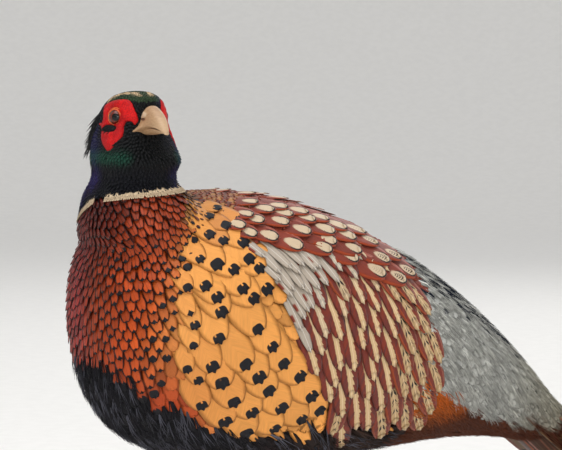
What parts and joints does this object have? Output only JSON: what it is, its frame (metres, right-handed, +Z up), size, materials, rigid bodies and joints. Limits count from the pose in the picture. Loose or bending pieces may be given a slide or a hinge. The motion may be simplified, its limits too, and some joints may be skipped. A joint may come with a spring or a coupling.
{
  "type": "common pheasant",
  "caption": "Life-size male common pheasant standing on both feet, head turned to its left, tail laid back along the floor.",
  "frame": {"origin": "middle of the underside of the whole model's box, on the floor", "axes": "+Z up, -Y the way the breast points, +X the bird's left and the way its head faces"},
  "size_m": [0.1668, 0.7494, 0.354],
  "materials": {
    "body_plumage": "matte feathers",
    "neck_plumage": "glossy dark feathers",
    "head_plumage": "glossy dark feathers",
    "tail_plumage": "matte feathers",
    "wing_plumage": "matte feathers",
    "thigh_plumage": "matte down",
    "bill_horn": "horn",
    "eye_dark": "wet gloss",
    "face_skin": "papillate skin",
    "leg_scale": "scaled skin",
    "claw_horn": "horn"
  },
  "bodies": {
    "root": {"torso": "body_plumage", "neck": "neck_plumage", "head": "head_plumage", "tail": "tail_plumage", "wing_left": "wing_plumage", "wing_right": "wing_plumage", "bill_upper": "bill_horn", "bill_lower": "bill_horn", "eye_left": "eye_dark", "eye_right": "eye_dark", "wattle_left": "face_skin", "wattle_right": "face_skin", "thigh_left": "thigh_plumage", "thigh_right": "thigh_plumage", "shank_left": "leg_scale", "shank_right": "leg_scale", "foot_left": "leg_scale", "foot_right": "leg_scale", "spur_left": "claw_horn", "spur_right": "claw_horn", "claw_inner_left": "claw_horn", "claw_middle_left": "claw_horn", "claw_outer_left": "claw_horn", "claw_hind_left": "claw_horn", "claw_inner_right": "claw_horn", "claw_middle_right": "claw_horn", "claw_outer_right": "claw_horn", "claw_hind_right": "claw_horn"}
  },
  "joints": []
}
